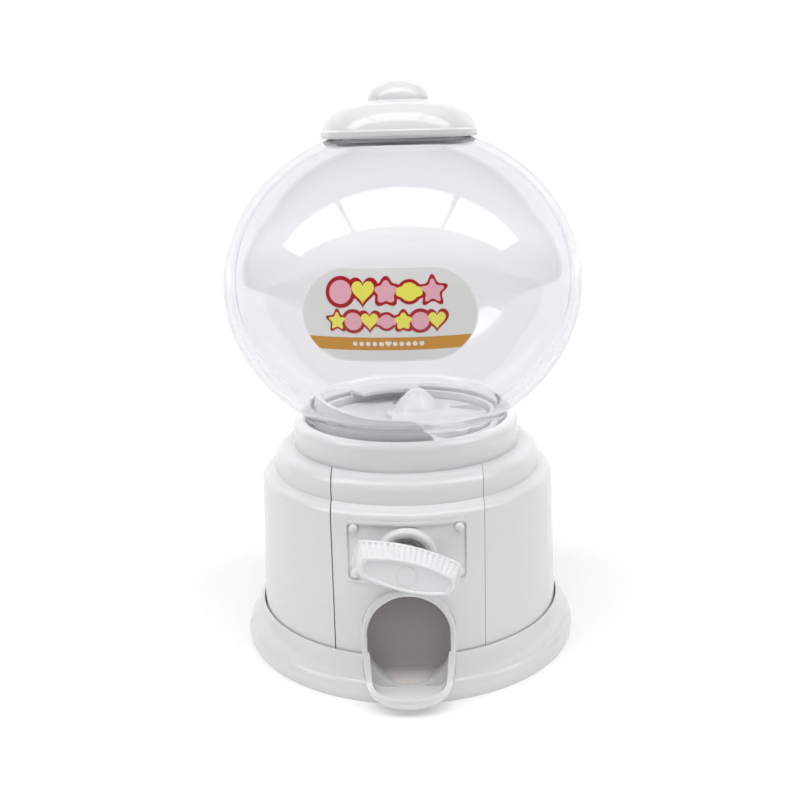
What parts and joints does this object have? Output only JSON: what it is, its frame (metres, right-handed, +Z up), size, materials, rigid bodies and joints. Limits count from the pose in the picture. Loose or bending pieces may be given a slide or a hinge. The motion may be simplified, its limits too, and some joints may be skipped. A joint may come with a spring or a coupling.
{
  "type": "gumball machine",
  "caption": "Small countertop gumball machine: clear globe on a white stepped round base, bar-handle knob, scoop spout, lift-off lid and a geared dispensing wheel.",
  "frame": {"origin": "centre of the base on the surface it stands on", "axes": "+Z up along the globe's axis, -Y towards the knob and spout, +X to the right of somebody facing the knob"},
  "size_m": [0.088, 0.0939, 0.14],
  "materials": {
    "base_white": "gloss",
    "panel_white": "high gloss",
    "inner_white": "satin",
    "gear_white": "matt",
    "knob_white": "gloss",
    "lid_white": "high gloss",
    "screw_steel": "zinc plated",
    "clip_steel": "dark spring steel",
    "clear_globe": "clear moulded plastic",
    "label_film": "printed film"
  },
  "bodies": {
    "base": {"plinth": "base_white", "base_shell": "base_white", "front_panel": "panel_white", "bottom_cover": "inner_white", "cover_screws": "screw_steel", "neck_collar": "base_white", "collar_screws": "screw_steel", "hopper": "inner_white", "chute_ramp": "inner_white", "gear_bracket": "gear_white", "bracket_screws": "screw_steel", "chute_spout": "panel_white", "shaft_bushing": "gear_white", "globe_front": "clear_globe", "globe_rear": "clear_globe", "label": "label_film"},
    "knob_train": {"knob": "knob_white", "knob_shaft": "gear_white", "drive_pinion": "gear_white", "shaft_clip": "clip_steel"},
    "wheel_train": {"dispensing_wheel": "inner_white", "crown_gear": "gear_white", "crown_screw": "screw_steel"},
    "top": {"lid": "lid_white", "lid_knob": "lid_white"}
  },
  "joints": [
    {"name": "wheel_turn", "type": "hinge", "parent": "base", "child": "wheel_train", "pos_m": [0, 0, 0.0538], "axis": [0, 0, 1], "continuous": true},
    {"name": "knob_turn", "type": "hinge", "parent": "base", "child": "knob_train", "pos_m": [0, 0, 0.0346], "axis": [0, 1, 0], "continuous": true},
    {"name": "lid_lift", "type": "slide", "parent": "base", "child": "top", "axis": [0, 0, 1], "range_m": [0, 0.04]}
  ],
  "couplings": [
    {"joint": "knob_turn", "follows": "wheel_turn", "ratio": 2}
  ]
}
